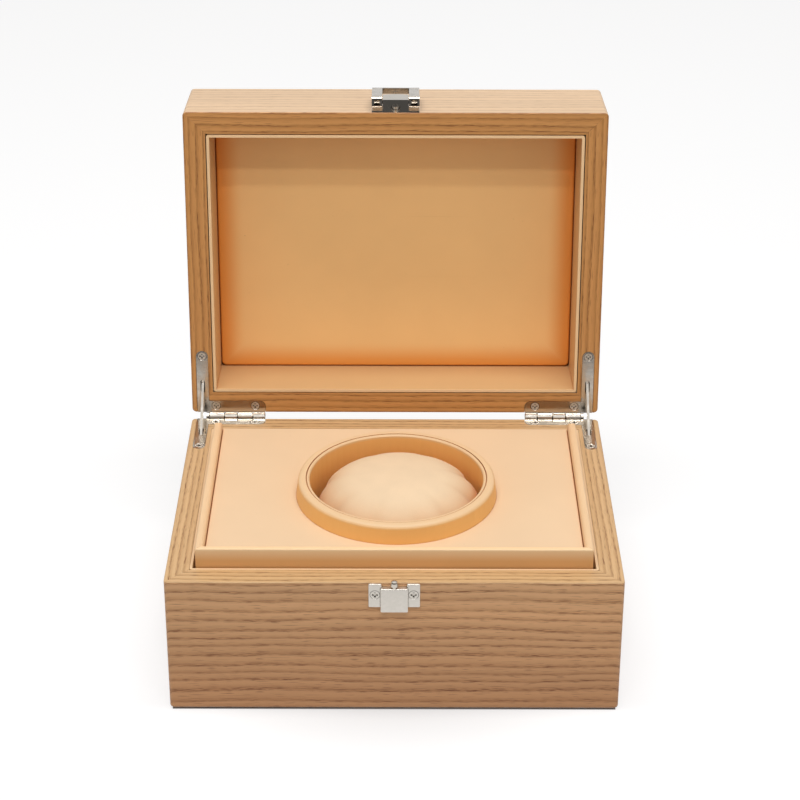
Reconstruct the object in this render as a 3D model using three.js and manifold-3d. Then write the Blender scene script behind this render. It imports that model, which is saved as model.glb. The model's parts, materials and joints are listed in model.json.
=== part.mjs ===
// A veneered wooden watch box, lid open, with a raised tray, a round padded well and a cushion.
// Millimetres, +Z up. The origin is the middle of the underside; -Y is the front of the box.

import * as THREE from "three";
import { mergeVertices } from "three/addons/utils/BufferGeometryUtils.js";
import Module from "manifold-3d";

const wasm = await Module();
wasm.setup();

// Outer size of the box.
const boxWidth = 200;
const boxDepth = 151.6;
const baseHeight = 66.6;
const lidHeight = 47;
const wallThickness = 10.4;
const cornerRadius = 2;
const footEdgeRadius = 1;
const rimEdgeRadius = 0.5;
const roofEdgeRadius = 1.8;
const feltThickness = 0.8;
const feltInset = 4;
const bottomPanelThickness = 5;
const roofPanelThickness = 8;

// Clearances.
const rimGap = 0.4;
const glueLine = 0.1;
const pilotClearance = 0.15;
const cutMargin = 1;
const cutReach = 4;
const weldDistance = 0.0005;

// Lid angle in the stored pose, measured from shut.
const openAngle = THREE.MathUtils.degToRad(95.5);

// Hinges: a knuckled barrel behind the rear face and an L-shaped leaf let into each rim.
const pivotBehindRear = 2.1;
const barrelRadius = 2;
const hingePinRadius = 1;
const pinBoreClearance = 0.06;
const knuckleGap = 0.12;
const knuckleChamfer = 0.35;
const knuckleInsets = [36, 29.8, 22.3, 15.8, 8.2];
const pinHeadRadius = 1.9;
const pinHeadLength = 1.2;
const leafThickness = 1.5;
const rearLegDepth = 5.9;
const armInset = 5.5;
const armWidth = 5.7;
const baseArmLength = 31;
const lidArmLength = 32.1;
const mortiseClearance = 0.15;
const rearScrewSideInsets = [31, 11.8];
const rearScrewInset = 3.4;
const baseArmScrewInset = 27.6;
const lidArmScrewInset = 29.4;

// Stays: each hangs from a pin in the lid arm and slides through the slot of the base arm.
const stayReach = 17.5;
const stayDepth = 2.8;
const stayWidth = 2.6;
const stayThickness = 1.2;
const stayEyeRadius = 1.55;
const stayPinRadius = 0.6;
const stayPinHalfLength = 2;
const stayPinClearance = 0.07;
const stayStopSlack = 0.5;
const stayHeadWidth = 4;
const stayHeadHeight = 2;
const slotWidth = 2.2;
const slotBeyond = 1.6;
const slotTowardsHinge = 5.1;
const almostRoundShare = 0.99;
const lugInner = 1.15;
const lugOuter = 2.05;
const lugHalfLength = 1.4;
const lugBeyondPin = 1.4;
const pocketHalfWidth = 2.4;
const basePocketFront = 7.1;
const basePocketRear = 3.4;
const basePocketDepth = 31;
const lidPocketFront = 2.3;
const lidPocketRear = 4.2;
const lidPocketDepth = 5.4;

// Linings.
const baseLinerThickness = 1.1;
const lidLinerThickness = 1.35;
const linerCornerRadius = 1.2;
const padDepth = 31;
const padClearance = 0.4;
const padEdgeRadius = 1.6;
const lidLinerGap = 0.45;

// Tray: four wrapped boards on the bottom panel and a wrapped platform between them.
const traySideGap = 1.4;
const trayFrontGap = 1;
const fingerGap = 8;
const trayRise = 9.2;
const trayBoard = 3.5;
const trayBoardOuterRadius = 0.6;
const trayBoardInnerRadius = 1.7;
const sideEndRadius = 3;
const platformDrop = 4.2;
const platformThickness = 3;
const platformGroove = 0.15;
const platformEdgeRadius = 0.6;

// Round collar and well.
const wellForward = 2.9;
const wellSideways = 0.8;
const collarThickness = 4.4;
const collarTaper = 0.8;
const collarHeight = 8.7;
const collarEdgeRadius = 1.9;
const bandOuterRadius = 41.4;
const bandThickness = 1.6;
const bandEdgeRadius = 0.6;
const wellDepth = 38;
const wellFloorThickness = 2;
const wellHoleClearance = 0.3;

// Cushion.
const cushionSideGap = 2.2;
const cushionFrontGap = 1.8;
const cushionSideways = 1.2;
const cushionTopRise = 2;
const cushionSquareness = 2.4;
const cushionRestGap = 0.2;
const creaseDepth = 2;
const creaseWidthShare = 0.018;
// Where the cover is gathered, as shares of a full turn from +X towards +Y.
const creaseTurnShares = [-0.03, -0.13, -0.2, -0.31, -0.42, 0.06, 0.186, 0.314, 0.46];

// Latch plate on the base, with its stub pin.
const latchWidth = 22.4;
const earWidth = 5.4;
const earHeight = 11.7;
const earDrop = 0.2;
const earThickness = 1;
const strikeWidth = 11.9;
const strikeHeight = 11.8;
const strikeDrop = 1.8;
const strikeThickness = 2.6;
const plateBevel = 0.25;
const earScrewSide = 8.4;
const earScrewDrop = 5.6;
const stubRadius = 1.6;
const stubNeckRadius = 0.85;
const stubNeckHeight = 0.8;
const stubHeight = 4;
const stubDomeHeight = 1.1;
const stubStandOff = 1.7;
const stubCollarHeight = 0.4;
const stubDomeShares = [[0.87, 0.5], [0.5, 0.87]];

// Latch on the lid: a plate with a socketed tongue and a frame that swings over the strike.
const lidPlateThickness = 0.7;
const lidPlateRimInset = 0.3;
const lidPlateHeight = 12.5;
const tongueWidth = 12.2;
const tongueTop = 6.1;
const tongueLength = 10;
const tongueBulge = 1.3;
const socketRadius = 2.3;
const socketStandOff = 2.2;
const socketDepth = 5;
const lidPlateScrewSide = 8.7;
const lidPlateScrewHeight = 9.2;
const leverPivotRise = 3.2;
const leverPivotStandOff = 4.4;
const leverRestTilt = THREE.MathUtils.degToRad(3);
const leverInner = 6.3;
const leverTop = 3.1;
const leverHubDrop = 2.4;
const leverHubEnd = 2.5;
const leverHubRadius = 1.2;
const leverSlopeStart = 2;
const leverSlopeEnd = 4.8;
const leverBarInner = 17.4;
const leverBarWidth = 1.5;
const leverBarBottom = 0.4;
const nubRadius = 1;
const nubTop = 1.6;
const leverPinRadius = 0.8;
const leverPinClearance = 0.08;
const leverPinInner = 4;
const leverPinOuter = 10.9;
const leverPocketHalf = 1.5;
const leverPocketTop = 1.5;
const leverPocketDrop = 1.2;
const leverPocketDepth = 5.4;

// Countersunk screws.
const leafScrew = { head: 2, cone: 1, shank: 1.1, length: 9 };
const earScrew = { head: 2.1, cone: 0.85, shank: 1, length: 8 };
const plateScrew = { head: 1.7, cone: 0.6, shank: 0.8, length: 7 };
const crossArmShare = 0.62;
const crossWidthShare = 0.2;
const crossDepthShare = 0.7;
const headClearance = 0.08;
const headRingGap = 0.22;
const headSink = 0.05;

// Facets.
const fineSegments = 24;
const barrelSegments = 20;
const holeSegments = 16;
const pilotSegments = 8;
const ringSegments = 64;
const cushionSegments = 44;
const cushionRings = 16;
const edgeSegments = 3;

// Derived places.
const halfWidth = boxWidth / 2;
const halfDepth = boxDepth / 2;
const hingeY = halfDepth + pivotBehindRear;
const hingeZ = baseHeight + rimGap / 2;
const innerHalfWidth = halfWidth - wallThickness;
const innerHalfDepth = halfDepth - wallThickness;
const knuckleEdges = knuckleInsets.map((inset) => halfWidth - inset);
const armCentre = halfWidth - armInset;
const floorZ = feltThickness + bottomPanelThickness;
const linedHalfDepth = innerHalfDepth - glueLine - baseLinerThickness;
const trayHalfWidth = innerHalfWidth - glueLine - baseLinerThickness - traySideGap;
const trayFront = -linedHalfDepth + trayFrontGap;
const trayRear = linedHalfDepth - fingerGap;
const trayTop = baseHeight + trayRise;
const platformTop = trayTop - platformDrop;
const wellCentre = new THREE.Vector2(wellSideways, (trayFront + trayRear) / 2 - wellForward);
const collarInnerRadius = bandOuterRadius + glueLine;
const collarRadius = collarInnerRadius + collarThickness;
const bandInnerRadius = bandOuterRadius - bandThickness;
const cushionHalfWidth = bandInnerRadius - cushionSideGap;
const cushionHalfDepth = bandInnerRadius - cushionFrontGap;
const collarTop = platformTop + collarHeight;
const wellFloorTop = collarTop - wellDepth;

// In the lid's own frame the hinge axis is the origin, and the lid is shut.
const lidRim = rimGap / 2;
const lidFront = -boxDepth - pivotBehindRear;
const lidRear = -pivotBehindRear;
const lidTop = lidRim + lidHeight;
const roofUnder = lidTop - roofPanelThickness;
const padUnder = lidRim + padDepth;

const material = (color, roughness, metalness) =>
  new THREE.MeshStandardMaterial({ color, roughness, metalness });
const veneer = () => material(0xb98e68, 0.5, 0);
const board = () => material(0xa9794f, 0.7, 0);
const leatherette = () => material(0xf0c79a, 0.55, 0);
const suede = () => material(0xf3d2a8, 0.75, 0);
const felt = () => material(0x3a2a20, 0.95, 0);
const nickel = () => material(0xc9c6bf, 0.18, 1);
const satinNickel = () => material(0xd9d6cf, 0.4, 0.7);

// Turns a closed three.js geometry into a solid that can be joined and cut.
function solid(geometry) {
  const bare = new THREE.BufferGeometry();
  bare.setAttribute("position", geometry.getAttribute("position"));
  if (geometry.index) bare.setIndex(geometry.index);
  const merged = mergeVertices(bare, weldDistance);
  const corners = merged.index.array;
  const kept = [];
  for (let i = 0; i < corners.length; i += 3) {
    const [a, b, c] = [corners[i], corners[i + 1], corners[i + 2]];
    if (a !== b && b !== c && c !== a) kept.push(a, b, c);
  }
  const vertProperties = merged.getAttribute("position").array;
  const triVerts = new Uint32Array(kept);
  return new wasm.Manifold(new wasm.Mesh({ numProp: 3, vertProperties, triVerts }));
}

function geometryOf(shape) {
  const { vertProperties, triVerts } = shape.getMesh();
  const geometry = new THREE.BufferGeometry();
  geometry.setAttribute("position", new THREE.BufferAttribute(vertProperties, 3));
  geometry.setIndex(new THREE.BufferAttribute(triVerts, 1));
  return geometry;
}

// Turns a solid about X and then about Z, and moves it to its place.
function placed(shape, x, y, z, turnX = 0, turnZ = 0) {
  const geometry = geometryOf(shape);
  geometry.rotateX(turnX);
  geometry.rotateZ(turnZ);
  geometry.translate(x, y, z);
  return solid(geometry);
}

// Turns a solid back into a named mesh.
function piece(name, shape, look) {
  const flat = geometryOf(shape).toNonIndexed();
  flat.computeVertexNormals();
  const mesh = new THREE.Mesh(flat, look);
  mesh.name = name;
  return mesh;
}

function block(x0, x1, y0, y1, z0, z1) {
  const [left, right] = [Math.min(x0, x1), Math.max(x0, x1)];
  const geometry = new THREE.BoxGeometry(right - left, y1 - y0, z1 - z0);
  geometry.translate((left + right) / 2, (y0 + y1) / 2, (z0 + z1) / 2);
  return solid(geometry);
}

function polygon(points) {
  return new THREE.Shape(points.map(([x, y]) => new THREE.Vector2(x, y)));
}

// A straight prism over a flat outline, from z0 to z1.
function prism(outline, z0, z1, curveSegments = edgeSegments) {
  const depth = z1 - z0;
  const geometry = new THREE.ExtrudeGeometry(outline, { depth, bevelEnabled: false, curveSegments });
  geometry.translate(0, 0, z0);
  return solid(geometry);
}

// A prism over an outline drawn in the YZ plane, from x0 to x1.
function sidePrism(outline, x0, x1, curveSegments = edgeSegments) {
  const [left, right] = [Math.min(x0, x1), Math.max(x0, x1)];
  const depth = right - left;
  const geometry = new THREE.ExtrudeGeometry(outline, { depth, bevelEnabled: false, curveSegments });
  geometry.applyMatrix4(new THREE.Matrix4().makeBasis(
    new THREE.Vector3(0, 1, 0),
    new THREE.Vector3(0, 0, 1),
    new THREE.Vector3(1, 0, 0),
  ));
  geometry.translate(left, 0, 0);
  return solid(geometry);
}

// A prism whose two end faces have rounded edges.
function softPrism(outline, z0, z1, radius) {
  const geometry = new THREE.ExtrudeGeometry(outline, {
    depth: z1 - z0 - 2 * radius,
    bevelEnabled: true,
    bevelThickness: radius,
    bevelSize: radius,
    bevelOffset: -radius,
    bevelSegments: edgeSegments,
    curveSegments: edgeSegments,
  });
  geometry.translate(0, 0, z0 + radius);
  return solid(geometry);
}

function roundedRectangle(x0, x1, y0, y1, radius) {
  const shape = new THREE.Shape();
  shape.moveTo(x0 + radius, y0);
  shape.lineTo(x1 - radius, y0);
  shape.absarc(x1 - radius, y0 + radius, radius, -Math.PI / 2, 0);
  shape.lineTo(x1, y1 - radius);
  shape.absarc(x1 - radius, y1 - radius, radius, 0, Math.PI / 2);
  shape.lineTo(x0 + radius, y1);
  shape.absarc(x0 + radius, y1 - radius, radius, Math.PI / 2, Math.PI);
  shape.lineTo(x0, y0 + radius);
  shape.absarc(x0 + radius, y0 + radius, radius, Math.PI, Math.PI * 1.5);
  return shape;
}

function circle(x, y, radius) {
  const shape = new THREE.Shape();
  shape.absarc(x, y, radius, 0, Math.PI * 2);
  return shape;
}

// A round bar along Z.
function rod(radius, z0, z1, segments = holeSegments) {
  const geometry = new THREE.CylinderGeometry(radius, radius, z1 - z0, segments);
  geometry.rotateX(Math.PI / 2);
  geometry.translate(0, 0, (z0 + z1) / 2);
  return solid(geometry);
}

// A round bar along X.
function crossRod(radius, x0, x1, y, z, segments = holeSegments) {
  const [left, right] = [Math.min(x0, x1), Math.max(x0, x1)];
  const geometry = new THREE.CylinderGeometry(radius, radius, right - left, segments);
  geometry.rotateZ(Math.PI / 2);
  geometry.translate((left + right) / 2, y, z);
  return solid(geometry);
}

// A turned shape about Z from a closed profile of [radius, height] points.
function turned(profile, segments) {
  const points = profile.map(([r, z]) => new THREE.Vector2(r, z));
  const geometry = new THREE.LatheGeometry(points, segments);
  geometry.rotateX(Math.PI / 2);
  const made = solid(geometry);
  return made.volume() < 0 ? solid(flipped(geometry)) : made;
}

function flipped(geometry) {
  const turnedRound = geometry.clone();
  const index = turnedRound.index.array;
  for (let i = 0; i < index.length; i += 3) [index[i], index[i + 1]] = [index[i + 1], index[i]];
  return turnedRound;
}

// Points of a quarter circle, for rounding a profile's corner.
function quarter(centreX, centreY, radius, startAngle, steps) {
  const points = [];
  for (let i = 0; i <= steps; i += 1) {
    const angle = startAngle - (i / steps) * (Math.PI / 2);
    points.push([centreX + radius * Math.cos(angle), centreY + radius * Math.sin(angle)]);
  }
  return points;
}

const union = (shapes) => shapes.reduce((all, next) => all.add(next));
const without = (shape, cuts) => cuts.reduce((left, cut) => left.subtract(cut), shape);
const sides = [
  ["left", -1],
  ["right", 1],
];

// The outer form of half of the box, with its own edge radius at the bottom and at the top.
function outerForm(y0, y1, z0, z1, bottomRadius, topRadius) {
  const outline = roundedRectangle(-halfWidth, halfWidth, y0, y1, cornerRadius);
  const lower = softPrism(outline, z0, z1 + cutReach, bottomRadius);
  const upper = softPrism(outline, z0 - cutReach, z1, topRadius);
  return lower.intersect(upper);
}

// Plan of a mitred wall whose outer face runs along X at y = outer; inward is +1 or -1 along Y.
function frontPlan(outer, inward) {
  const mitre = glueLine / 2;
  const inner = outer + inward * wallThickness;
  return polygon([
    [-halfWidth + mitre, outer],
    [halfWidth - mitre, outer],
    [innerHalfWidth - mitre, inner],
    [-innerHalfWidth + mitre, inner],
  ]);
}

// Plan of a mitred wall along Y on one side of the box.
function sidePlan(side, y0, y1) {
  const mitre = glueLine / 2;
  const [outer, inner] = [side * halfWidth, side * innerHalfWidth];
  return polygon([
    [outer, y0 + mitre],
    [outer, y1 - mitre],
    [inner, y1 - wallThickness - mitre],
    [inner, y0 + wallThickness + mitre],
  ]);
}

// A countersunk cross-head screw with its head's face at z = 0, pointing down.
function screwShape({ head, cone, shank, length }) {
  const profile = [[0, 0], [head, 0], [shank, -cone], [shank, -length], [0, -length]];
  const body = turned(profile, fineSegments / 2);
  const arm = head * crossArmShare;
  const half = head * crossWidthShare;
  const depth = cone * crossDepthShare;
  const bars = [
    block(-arm, arm, -half, half, -depth, cutMargin),
    block(-half, half, -arm, arm, -depth, cutMargin),
  ];
  return without(body, bars);
}

// What has to be cut away for such a screw: the head's seat in the metal and the pilot hole.
function screwSeat({ head, cone, shank, length }) {
  const wide = head + headRingGap;
  const narrow = shank + pilotClearance;
  return turned([
    [0, cutMargin],
    [wide, cutMargin],
    [wide, 0],
    [narrow, -cone - headClearance],
    [narrow, -length - pilotClearance],
    [0, -length - pilotClearance],
  ], holeSegments);
}

// The hole that such a screw needs in the wood behind the metal.
function pilotHole({ shank, length }) {
  return rod(shank + pilotClearance, -length - pilotClearance, 0, pilotSegments);
}

// Screws and their seats point down; these angles turn them to where they go.
const pointingUp = Math.PI;
const pointingBack = Math.PI / 2;

// A shape drawn lying on the XY plane is stood up by this turn, facing the front.
const upright = Math.PI / 2;

// Where the leaf screws stand, in the hinge's frame, for one side of the box.
function leafScrewPlaces(side, level) {
  const screwInset = level > 0 ? lidArmScrewInset : baseArmScrewInset;
  const rear = rearScrewSideInsets.map((inset) =>
    [side * (halfWidth - inset), -pivotBehindRear - rearScrewInset]);
  return [...rear, [side * armCentre, -pivotBehindRear - screwInset]];
}

// The L-shaped plan of a hinge leaf, in the hinge's frame: the axis is y = 0.
function leafPlan(side, level, grow) {
  const half = armWidth / 2 + grow;
  const rear = -pivotBehindRear;
  const near = rear - rearLegDepth - grow;
  const endY = rear - (level > 0 ? lidArmLength : baseArmLength) + armWidth / 2;
  const inner = knuckleEdges[0] - grow;
  const endRadius = rearLegDepth / 2;
  const shape = new THREE.Shape();
  const x = (value) => side * value;
  const arc = (cx, cy, radius, from, to) => {
    for (let i = 0; i <= fineSegments / 3; i += 1) {
      const angle = from + ((to - from) * i) / (fineSegments / 3);
      shape.lineTo(x(cx + radius * Math.cos(angle)), cy + radius * Math.sin(angle));
    }
  };
  shape.moveTo(x(armCentre + half), rear + grow);
  arc(armCentre, endY, half, 0, -Math.PI);
  shape.lineTo(x(armCentre - half), near);
  arc(inner + endRadius, near + endRadius + grow / 2, endRadius + grow / 2, -Math.PI / 2, -Math.PI);
  shape.lineTo(x(inner), rear + grow);
  return shape;
}

// The slot in a leaf's arm that the stay passes through.
function staySlot(side, z0, z1) {
  const x = side * armCentre;
  const half = slotWidth / 2;
  const outline = roundedRectangle(
    x - half, x + half,
    -stayReach - slotBeyond, -stayReach + slotTowardsHinge,
    half * almostRoundShare,
  );
  return prism(outline, z0, z1);
}

// One hinge leaf. level is +1 for the lid's leaf and -1 for the base's; parity picks its knuckles.
function leafShape(side, level, parity) {
  const face = level * lidRim;
  const back = face + level * leafThickness;
  const [z0, z1] = [Math.min(face, back), Math.max(face, back)];
  const plate = prism(leafPlan(side, level, 0), z0, z1);
  const slot = staySlot(side, z0 - cutMargin, z1 + cutMargin);
  const seats = leafScrewPlaces(side, level).map(([x, y]) =>
    placed(screwSeat(leafScrew), x, y, face + level * headSink, level > 0 ? pointingUp : 0));
  const knuckles = [];
  for (let i = parity; i < knuckleEdges.length - 1; i += 2) {
    const x0 = side * (knuckleEdges[i] + knuckleGap / 2);
    const x1 = side * (knuckleEdges[i + 1] - knuckleGap / 2);
    knuckles.push(knuckle(x0, x1));
    knuckles.push(block(x0, x1, -pivotBehindRear - knuckleGap, 0, z0, z1));
  }
  const bore = crossRod(
    hingePinRadius + pinBoreClearance,
    side * (knuckleEdges[0] - cutMargin), side * (knuckleEdges.at(-1) + cutMargin), 0, 0,
  );
  const leaf = union([plate, ...knuckles]);
  const lugs = level > 0 ? stayLugs(side, z1) : [];
  return without(union([leaf, ...lugs]), [bore, slot, ...seats, ...lugHoles(side, level)]);
}

// One knuckle of the barrel, along X, with its ends chamfered.
function knuckle(x0, x1) {
  const half = Math.abs(x1 - x0) / 2;
  const end = barrelRadius - knuckleChamfer;
  const shape = turned([
    [0, -half],
    [end, -half],
    [barrelRadius, knuckleChamfer - half],
    [barrelRadius, half - knuckleChamfer],
    [end, half],
    [0, half],
  ], barrelSegments);
  return placed(shape, (x0 + x1) / 2, 0, 0, upright, upright);
}

// Two lugs behind the lid's arm carry the stay's pin.
function stayLugs(side, z0) {
  const top = stayDepth + lugBeyondPin;
  const [y0, y1] = [-stayReach - lugHalfLength, -stayReach + lugHalfLength];
  return [-1, 1].map((hand) => block(
    side * armCentre + hand * lugInner, side * armCentre + hand * lugOuter, y0, y1, z0 - glueLine, top,
  ));
}

function lugHoles(side, level) {
  if (level < 0) return [];
  const reach = lugOuter + cutMargin;
  const x = side * armCentre;
  return [crossRod(
    stayPinRadius + stayPinClearance / 2, x - reach, x + reach, -stayReach, stayDepth, fineSegments / 2,
  )];
}

// What a hinge leaf and its stay need cut out of the wood, in the hinge's frame.
function hingeCuts(side, level) {
  const face = level * (lidRim - cutMargin);
  const bed = level * (lidRim + leafThickness + mortiseClearance);
  const mortise = prism(leafPlan(side, level, mortiseClearance), Math.min(face, bed), Math.max(face, bed));
  const x = side * armCentre;
  const shut = level < 0
    ? [basePocketFront, basePocketRear, -lidRim - basePocketDepth, 0]
    : [lidPocketFront, lidPocketRear, 0, lidRim + lidPocketDepth];
  const [front, rear, z0, z1] = shut;
  const pocket = block(
    x - pocketHalfWidth, x + pocketHalfWidth, -stayReach - front, -stayReach + rear, z0, z1,
  );
  const pilots = leafScrewPlaces(side, level).map(([sx, sy]) =>
    placed(pilotHole(leafScrew), sx, sy, level * (lidRim + headSink), level > 0 ? pointingUp : 0));
  return [mortise, pocket, ...pilots];
}

const box = new THREE.Group();

// Base carcass: four mitred walls, the bottom panel and the felt under it.
function addBaseCarcass() {
  const [y0, y1] = [-halfDepth, halfDepth];
  const form = outerForm(y0, y1, feltThickness, baseHeight, footEdgeRadius, rimEdgeRadius);
  const cuts = sides.flatMap(([, side]) => hingeCuts(side, -1))
    .map((cut) => placed(cut, 0, hingeY, hingeZ));
  const wall = (name, plan, extra) => {
    const raw = prism(plan, feltThickness - cutMargin, baseHeight + cutMargin).intersect(form);
    box.add(piece(name, without(raw, extra), veneer()));
  };
  const earPilots = sides.map(([, side]) => placed(
    pilotHole(earScrew),
    side * earScrewSide, -halfDepth - earThickness + headSink, baseHeight - earScrewDrop, pointingBack,
  ));
  wall("base_front_wall", frontPlan(y0, 1), earPilots);
  wall("base_rear_wall", frontPlan(y1, -1), cuts);
  for (const [name, side] of sides) wall(`base_${name}_wall`, sidePlan(side, y0, y1), cuts);
  const panelX = innerHalfWidth - glueLine;
  const panelY = innerHalfDepth - glueLine;
  const panel = block(-panelX, panelX, -panelY, panelY, feltThickness, floorZ);
  box.add(piece("base_bottom_panel", panel, board()));
  const feltX = halfWidth - feltInset;
  const feltY = halfDepth - feltInset;
  const sheet = prism(roundedRectangle(-feltX, feltX, -feltY, feltY, cornerRadius), 0, feltThickness);
  box.add(piece("base_felt", sheet, felt()));
}

// A wrapped card lining: a thin rectangular tube inside the four walls.
function linerShape(x, y0, y1, z0, z1, thickness) {
  const outer = roundedRectangle(-x, x, y0, y1, linerCornerRadius);
  const inner = block(
    -x + thickness, x - thickness, y0 + thickness, y1 - thickness, z0 - cutMargin, z1 + cutMargin,
  );
  return prism(outer, z0, z1).subtract(inner);
}

function addBaseLiner() {
  const x = innerHalfWidth - glueLine;
  const y = innerHalfDepth - glueLine;
  const liner = linerShape(x, -y, y, floorZ, baseHeight, baseLinerThickness);
  box.add(piece("base_liner", liner, leatherette()));
}

// Cross section of a tray board that stands at y = 0 and grows towards +Y; its top edges are round.
function boardSection(thickness, z0, z1) {
  const outer = trayBoardOuterRadius;
  const inner = trayBoardInnerRadius;
  return polygon([
    [0, z0],
    ...quarter(outer, z1 - outer, outer, Math.PI, edgeSegments),
    ...quarter(thickness - inner, z1 - inner, inner, Math.PI / 2, edgeSegments + 1),
    [thickness, z0],
  ]);
}

// Tray boards. The front and side boards meet in mitres; the rear board stands between the sides,
// under the platform.
function addTrayBoards() {
  const half = trayHalfWidth;
  const rear = trayRear;
  const reach = halfWidth;
  const mitre = glueLine / 2;
  const section = boardSection(trayBoard, floorZ, trayTop);
  const front = placed(sidePrism(section, -half, half), 0, trayFront, 0);
  const corner = (side) => prism(polygon([
    [side * (half - mitre), trayFront],
    [side * (half - mitre - reach), trayFront + reach],
    [side * (half + reach), trayFront + reach],
    [side * (half + reach), trayFront - reach],
    [side * (half - mitre), trayFront - cutMargin],
  ]), floorZ - cutMargin, trayTop + cutMargin);
  const frontBoard = without(front, sides.map(([, side]) => corner(side)));
  box.add(piece("tray_front_board", frontBoard, leatherette()));
  for (const [name, side] of sides) {
    box.add(piece(`tray_${name}_board`, traySideBoard(side, half, rear), leatherette()));
  }
  const low = boardSection(trayBoard, floorZ, platformTop - platformThickness - glueLine);
  const between = half - trayBoard - glueLine;
  const rearBoard = placed(sidePrism(low, -between, between), 0, rear, 0, 0, Math.PI);
  box.add(piece("tray_rear_board", rearBoard, leatherette()));
}

// A side board: mitred at the front, with its top rear end rounded off.
function traySideBoard(side, half, rear) {
  const length = rear - trayFront;
  const mitre = glueLine / 2;
  const section = boardSection(trayBoard, floorZ, trayTop);
  const standing = side < 0
    ? placed(sidePrism(section, -length, 0), -half, trayFront, 0, 0, -Math.PI / 2)
    : placed(sidePrism(section, 0, length), half, trayFront, 0, 0, Math.PI / 2);
  const over = halfWidth;
  const mitreCut = prism(polygon([
    [side * (half + cutMargin), trayFront - cutMargin + mitre],
    [side * (half - over), trayFront + over + mitre],
    [side * (half - over), trayFront - over],
    [side * (half + cutMargin), trayFront - over],
  ]), floorZ - cutMargin, trayTop + cutMargin);
  const profile = roundedRectangle(
    trayFront - over, rear, floorZ - cutReach, trayTop, sideEndRadius,
  );
  const rounded = sidePrism(profile, side * (half - over), side * (half + cutMargin));
  return standing.subtract(mitreCut).intersect(rounded);
}

// The wrapped platform between the boards, with a round hole for the well.
function addPlatform() {
  const x = trayHalfWidth - trayBoard - platformGroove;
  const y0 = trayFront + trayBoard + platformGroove;
  const outline = roundedRectangle(-x, x, y0, trayRear, platformEdgeRadius + glueLine);
  const slab = softPrism(outline, platformTop - platformThickness, platformTop, platformEdgeRadius);
  const bore = rod(bandOuterRadius + wellHoleClearance, 0, trayTop, ringSegments);
  const hole = placed(bore, wellCentre.x, wellCentre.y, 0);
  box.add(piece("tray_platform", slab.subtract(hole), leatherette()));
}

// The round collar on the platform, the band inside it and the well's floor.
function addWell() {
  const place = (shape) => placed(shape, wellCentre.x, wellCentre.y, 0);
  const collar = turned([
    [collarInnerRadius, platformTop],
    [collarRadius, platformTop],
    ...collarEdge(),
    [collarInnerRadius, collarTop],
    [collarInnerRadius, platformTop],
  ], ringSegments);
  box.add(piece("well_collar", place(collar), leatherette()));
  const floorUnder = wellFloorTop - wellFloorThickness;
  const middle = (bandInnerRadius + bandOuterRadius) / 2;
  const band = turned([
    [bandInnerRadius, floorUnder],
    [bandOuterRadius, floorUnder],
    [bandOuterRadius, collarTop - bandEdgeRadius],
    [middle + bandEdgeRadius / 2, collarTop],
    [middle - bandEdgeRadius / 2, collarTop],
    [bandInnerRadius, collarTop - bandEdgeRadius],
    [bandInnerRadius, floorUnder],
  ], ringSegments);
  box.add(piece("well_band", place(band), leatherette()));
  const floor = rod(bandInnerRadius - glueLine, floorUnder, wellFloorTop, ringSegments / 2);
  box.add(piece("well_floor", place(floor), board()));
}

// The rounded outer top edge of the collar, which leans in as it rises.
function collarEdge() {
  const radius = collarEdgeRadius;
  const steps = edgeSegments + 1;
  const points = [];
  for (let i = 0; i <= steps; i += 1) {
    const angle = (i / steps) * (Math.PI / 2);
    points.push([
      collarRadius - collarTaper - radius + radius * Math.cos(angle),
      collarTop - radius + radius * Math.sin(angle),
    ]);
  }
  return points;
}

// How strongly the cushion's cover is gathered at an angle in plan: 1 in the middle of a crease.
function gatherAt(x, y) {
  const turn = Math.atan2(y, x) / (2 * Math.PI);
  return creaseTurnShares.reduce((most, place) => {
    const apart = Math.abs(turn - place);
    const share = Math.min(apart, 1 - apart) / creaseWidthShare;
    return Math.max(most, Math.exp(-share * share));
  }, 0);
}

// The cushion: a plump crowned form whose cover is drawn in by creases round its rim.
function cushionShape() {
  const low = wellFloorTop + cushionRestGap;
  const high = collarTop + cushionTopRise;
  const sphere = new THREE.SphereGeometry(1, cushionSegments, cushionRings);
  const position = sphere.getAttribute("position");
  const power = 2 / cushionSquareness;
  for (let i = 0; i < position.count; i += 1) {
    const [x, y, height] = [position.getX(i), -position.getZ(i), position.getY(i)];
    const ring = Math.hypot(x, y);
    const spread = ring > 0 ? ring ** power / ring : 0;
    const pulled = creaseDepth * gatherAt(x, y) * ring ** 2;
    const bulge = Math.sign(height) * Math.abs(height) ** power;
    position.setXYZ(
      i,
      x * (spread * cushionHalfWidth - pulled),
      y * (spread * cushionHalfDepth - pulled),
      (low + high) / 2 + (bulge * (high - low)) / 2,
    );
  }
  sphere.translate(wellCentre.x + cushionSideways, wellCentre.y, 0);
  return solid(sphere);
}

function addCushion() {
  box.add(piece("cushion", cushionShape(), suede()));
}

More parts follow.
